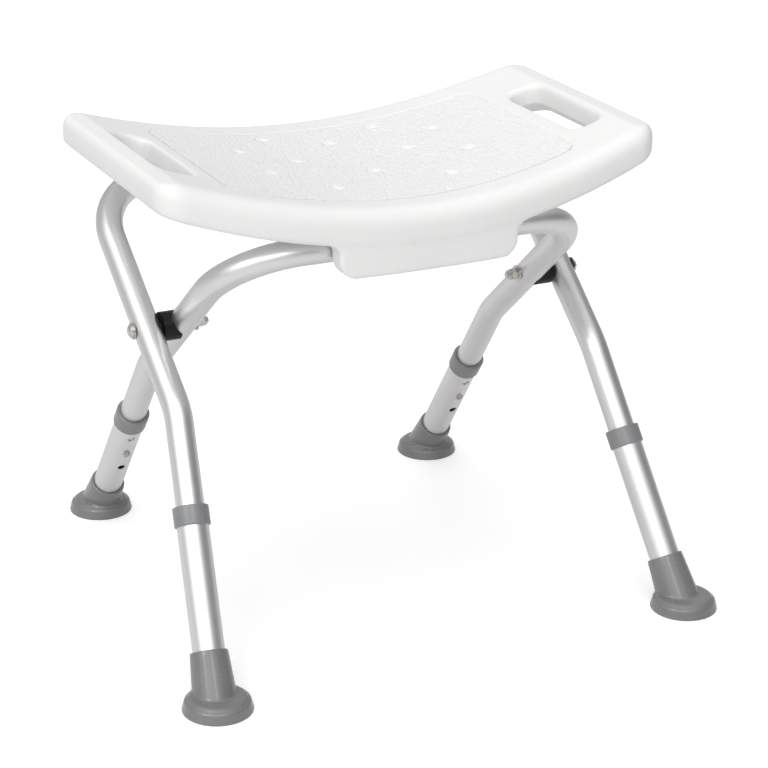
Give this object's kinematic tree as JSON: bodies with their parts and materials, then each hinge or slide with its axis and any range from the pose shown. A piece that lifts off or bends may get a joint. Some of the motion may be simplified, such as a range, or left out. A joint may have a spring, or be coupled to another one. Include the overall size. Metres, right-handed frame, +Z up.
{
  "type": "shower stool",
  "caption": "Folding shower stool: crowned white seat with hand slots on crossed bent tube frames, telescoping legs and round rubber feet.",
  "frame": {"origin": "on the floor, at the middle of the bounding box's bottom face", "axes": "+Z up, +X along the seat's long side, -Y towards the front, where the outer frame's feet stand"},
  "size_m": [0.536, 0.5034, 0.4432],
  "materials": {
    "seat_plastic": "semi-gloss moulded polyethylene",
    "frame_aluminium": "satin anodised",
    "leg_aluminium": "satin anodised",
    "collar_plastic": "satin moulded nylon",
    "foot_rubber": "moulded grey rubber",
    "spacer_plastic": "black moulded nylon",
    "zinc_steel": "zinc plated",
    "spring_steel": "bright spring steel",
    "insert_nylon": "white nylon"
  },
  "bodies": {
    "outer_frame": {"outer_frame_tube": "frame_aluminium", "pivot_bolt_left": "zinc_steel", "pivot_bolt_right": "zinc_steel", "head_washer_left": "zinc_steel", "head_washer_right": "zinc_steel", "nut_washer_left": "zinc_steel", "nut_washer_right": "zinc_steel", "pivot_nut_left": "zinc_steel", "pivot_nut_right": "zinc_steel", "nut_insert_left": "insert_nylon", "nut_insert_right": "insert_nylon"},
    "inner_frame": {"inner_frame_tube": "frame_aluminium", "pivot_spacer_left": "spacer_plastic", "pivot_spacer_right": "spacer_plastic"},
    "seat": {"seat": "seat_plastic", "hinge_strap_left": "spacer_plastic", "hinge_strap_right": "spacer_plastic", "hinge_screws_left": "zinc_steel", "hinge_screws_right": "zinc_steel"},
    "front_left_leg": {"front_left_leg_tube": "leg_aluminium", "front_left_leg_collar": "collar_plastic", "front_left_foot": "foot_rubber", "front_left_foot_washer": "zinc_steel"},
    "front_left_button": {"front_left_snap_button": "spring_steel"},
    "front_right_leg": {"front_right_leg_tube": "leg_aluminium", "front_right_leg_collar": "collar_plastic", "front_right_foot": "foot_rubber", "front_right_foot_washer": "zinc_steel"},
    "front_right_button": {"front_right_snap_button": "spring_steel"},
    "rear_left_leg": {"rear_left_leg_tube": "leg_aluminium", "rear_left_leg_collar": "collar_plastic", "rear_left_foot": "foot_rubber", "rear_left_foot_washer": "zinc_steel"},
    "rear_left_button": {"rear_left_snap_button": "spring_steel"},
    "rear_right_leg": {"rear_right_leg_tube": "leg_aluminium", "rear_right_leg_collar": "collar_plastic", "rear_right_foot": "foot_rubber", "rear_right_foot_washer": "zinc_steel"},
    "rear_right_button": {"rear_right_snap_button": "spring_steel"}
  },
  "joints": [
    {"name": "frame_fold", "type": "hinge", "parent": "outer_frame", "child": "inner_frame", "pos_m": [0, -0.00398, 0.2742], "axis": [-1, 0, 0], "range_deg": [0, 66]},
    {"name": "seat_fold", "type": "hinge", "parent": "outer_frame", "child": "seat", "pos_m": [0, 0.12748, 0.374], "axis": [-1, 0, 0], "range_deg": [0, 115.5]},
    {"name": "front_left_height", "type": "slide", "parent": "outer_frame", "child": "front_left_leg", "axis": [-0.0928, -0.5357, -0.8393], "range_m": [-0.0254, 0.0254]},
    {"name": "front_right_height", "type": "slide", "parent": "outer_frame", "child": "front_right_leg", "axis": [0.0928, -0.5357, -0.8393], "range_m": [-0.0254, 0.0254]},
    {"name": "rear_left_height", "type": "slide", "parent": "inner_frame", "child": "rear_left_leg", "axis": [-0.0169, 0.5909, -0.8065], "range_m": [-0.0254, 0.0254]},
    {"name": "rear_right_height", "type": "slide", "parent": "inner_frame", "child": "rear_right_leg", "axis": [0.0169, 0.5909, -0.8065], "range_m": [-0.0254, 0.0254]},
    {"name": "front_left_press", "type": "slide", "parent": "outer_frame", "child": "front_left_button", "axis": [0.0589, -0.8444, 0.5325], "range_m": [0, 0.0045], "stiffness_N_per_m": 2400, "springref_m": -0.001, "deforming": ["front_left_snap_button"]},
    {"name": "front_right_press", "type": "slide", "parent": "outer_frame", "child": "front_right_button", "axis": [-0.0589, -0.8444, 0.5325], "range_m": [0, 0.0045], "stiffness_N_per_m": 2400, "springref_m": -0.001, "deforming": ["front_right_snap_button"]},
    {"name": "rear_left_press", "type": "slide", "parent": "inner_frame", "child": "rear_left_button", "axis": [0.0124, 0.8067, 0.5908], "range_m": [0, 0.0045], "stiffness_N_per_m": 2400, "springref_m": -0.001, "deforming": ["rear_left_snap_button"]},
    {"name": "rear_right_press", "type": "slide", "parent": "inner_frame", "child": "rear_right_button", "axis": [-0.0124, 0.8067, 0.5908], "range_m": [0, 0.0045], "stiffness_N_per_m": 2400, "springref_m": -0.001, "deforming": ["rear_right_snap_button"]}
  ],
  "couplings": [
    {"joint": "seat_fold", "follows": "frame_fold", "ratio": 1.75}
  ]
}
